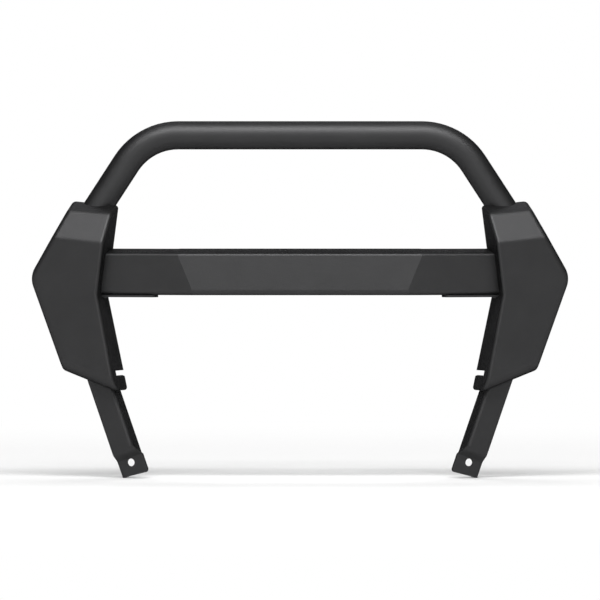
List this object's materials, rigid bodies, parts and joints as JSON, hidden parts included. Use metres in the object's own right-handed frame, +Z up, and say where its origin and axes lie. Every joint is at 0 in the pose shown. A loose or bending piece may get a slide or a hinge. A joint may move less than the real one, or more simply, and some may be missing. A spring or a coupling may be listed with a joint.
{
  "type": "atv front bumper",
  "caption": "Tubular front bumper with folded side covers, a cranked crossbar and two lower legs, bolted to a vehicle's front frame.",
  "frame": {"origin": "centre of the four upper slotted holes, on the rear face of the brackets that seats on the vehicle's frame", "axes": "+X to the right seen from the front, +Y backwards into the vehicle, +Z up; the bumper faces -Y"},
  "size_m": [0.7196, 0.1402, 0.4788],
  "materials": {
    "powder_coat": "fine-textured satin black powder coat on steel",
    "plated_steel": "bright zinc plating on rolled and forged steel",
    "black_plastic": "matt black moulded plastic"
  },
  "bodies": {
    "root": {"hoop_tube": "powder_coat", "right_tube_plug": "black_plastic", "left_tube_plug": "black_plastic", "right_side_cover": "powder_coat", "left_side_cover": "powder_coat", "right_upper_rib": "powder_coat", "left_upper_rib": "powder_coat", "right_lower_rib": "powder_coat", "left_lower_rib": "powder_coat", "right_leg": "powder_coat", "left_leg": "powder_coat", "crossbar": "powder_coat", "right_crossbar_ledge": "powder_coat", "left_crossbar_ledge": "powder_coat", "right_tube_lug": "powder_coat", "left_tube_lug": "powder_coat", "right_rear_bracket": "powder_coat", "left_rear_bracket": "powder_coat", "bracket_bolts": "plated_steel", "bracket_washers": "plated_steel", "bracket_nuts": "plated_steel"}
  },
  "joints": []
}
